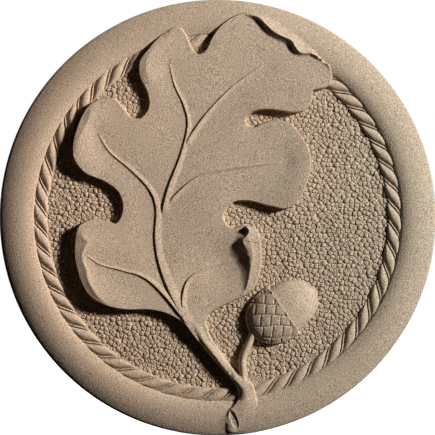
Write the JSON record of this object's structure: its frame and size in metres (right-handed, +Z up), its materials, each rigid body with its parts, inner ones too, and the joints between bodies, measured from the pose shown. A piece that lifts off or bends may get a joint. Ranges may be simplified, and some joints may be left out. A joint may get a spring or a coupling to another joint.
{
  "type": "relief medallion",
  "caption": "Round carved sandstone wall medallion: an oak leaf and an acorn in high relief on a pebbled field, inside a rope moulding and a broad rounded rim.",
  "frame": {"origin": "centre of the flat back face, where the medallion lies against the wall", "axes": "+Y out of the back into the wall, so the carved face looks along -Y; +Z up; +X to the viewer's right"},
  "size_m": [0.35, 0.0635, 0.35],
  "materials": {
    "buff_sandstone": "dry, fine-grained, hand-carved and lightly rubbed"
  },
  "bodies": {
    "root": {"carved_stone_medallion": "buff_sandstone"}
  },
  "joints": []
}
